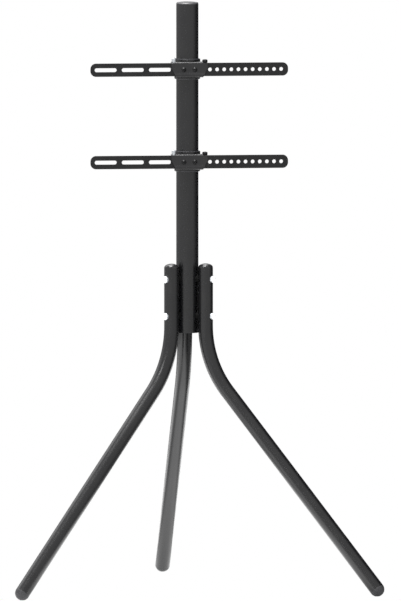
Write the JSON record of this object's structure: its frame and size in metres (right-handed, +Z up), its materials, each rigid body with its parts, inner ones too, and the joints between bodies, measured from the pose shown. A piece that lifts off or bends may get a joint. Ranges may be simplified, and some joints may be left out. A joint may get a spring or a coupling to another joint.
{
  "type": "tripod television floor stand",
  "caption": "Floor stand for a flat screen: a round column on bent tube legs, with perforated arms on collars that slide, turn and lock on the column.",
  "frame": {"origin": "on the floor, at the centre of the footprint's bounding box; the column's axis is 111.1 mm in front of it (towards -Y)", "axes": "+Z up along the column, the arms along X and facing -Y, the rear leg towards +Y"},
  "size_m": [0.8018, 0.6986, 1.2755],
  "materials": {
    "powder_coat": "semi-gloss black powder coat on steel",
    "cap_plastic": "moulded black polyethylene",
    "foot_plastic": "moulded dark grey plastic",
    "liner_plastic": "moulded grey nylon",
    "zinc_plate": "bright zinc-plated steel",
    "black_oxide": "black oxide on steel"
  },
  "bodies": {
    "stand": {"column_tube": "powder_coat", "column_top_cap": "cap_plastic", "column_bottom_plug": "cap_plastic", "column_thread_inserts": "zinc_plate", "left_leg_tube": "powder_coat", "left_leg_top_cap": "cap_plastic", "left_leg_foot": "foot_plastic", "left_leg_bolts": "zinc_plate", "left_leg_washers": "zinc_plate", "left_leg_saddles": "cap_plastic", "left_leg_sleeves": "zinc_plate", "right_leg_tube": "powder_coat", "right_leg_top_cap": "cap_plastic", "right_leg_foot": "foot_plastic", "right_leg_bolts": "zinc_plate", "right_leg_washers": "zinc_plate", "right_leg_saddles": "cap_plastic", "right_leg_sleeves": "zinc_plate", "rear_leg_tube": "powder_coat", "rear_leg_top_cap": "cap_plastic", "rear_leg_foot": "foot_plastic", "rear_leg_bolts": "zinc_plate", "rear_leg_washers": "zinc_plate", "rear_leg_saddles": "cap_plastic", "rear_leg_sleeves": "zinc_plate"},
    "upper_sleeve": {"upper_liner": "liner_plastic"},
    "upper_carrier": {"upper_collar_front": "powder_coat", "upper_collar_rear": "powder_coat", "upper_collar_bolts": "zinc_plate", "upper_collar_nuts": "zinc_plate", "upper_cover": "powder_coat", "upper_cover_screws": "black_oxide", "upper_stop_pin": "zinc_plate"},
    "upper_crossbar": {"upper_arm": "powder_coat"},
    "upper_lock": {"upper_lock_screw": "black_oxide"},
    "lower_sleeve": {"lower_liner": "liner_plastic"},
    "lower_carrier": {"lower_collar_front": "powder_coat", "lower_collar_rear": "powder_coat", "lower_collar_bolts": "zinc_plate", "lower_collar_nuts": "zinc_plate", "lower_cover": "powder_coat", "lower_cover_screws": "black_oxide", "lower_stop_pin": "zinc_plate"},
    "lower_crossbar": {"lower_arm": "powder_coat"},
    "lower_lock": {"lower_lock_screw": "black_oxide"}
  },
  "joints": [
    {"name": "upper_height", "type": "slide", "parent": "stand", "child": "upper_sleeve", "axis": [0, 0, 1], "range_m": [-0.05, 0.115]},
    {"name": "upper_swivel", "type": "hinge", "parent": "upper_sleeve", "child": "upper_carrier", "pos_m": [0, -0.11113, 1.13], "axis": [0, 0, 1], "continuous": true},
    {"name": "upper_arm_shift", "type": "slide", "parent": "upper_carrier", "child": "upper_crossbar", "axis": [1, 0, 0], "range_m": [-0.015, 0.015]},
    {"name": "upper_lock_turn", "type": "hinge", "parent": "upper_carrier", "child": "upper_lock", "pos_m": [0.034, -0.14603, 1.146], "axis": [0, 0, 1], "continuous": true},
    {"name": "lower_height", "type": "slide", "parent": "stand", "child": "lower_sleeve", "axis": [0, 0, 1], "range_m": [-0.19, 0.05]},
    {"name": "lower_swivel", "type": "hinge", "parent": "lower_sleeve", "child": "lower_carrier", "pos_m": [0, -0.11113, 0.93], "axis": [0, 0, 1], "continuous": true},
    {"name": "lower_arm_shift", "type": "slide", "parent": "lower_carrier", "child": "lower_crossbar", "axis": [1, 0, 0], "range_m": [-0.015, 0.015]},
    {"name": "lower_lock_turn", "type": "hinge", "parent": "lower_carrier", "child": "lower_lock", "pos_m": [0.034, -0.14603, 0.946], "axis": [0, 0, 1], "continuous": true}
  ]
}
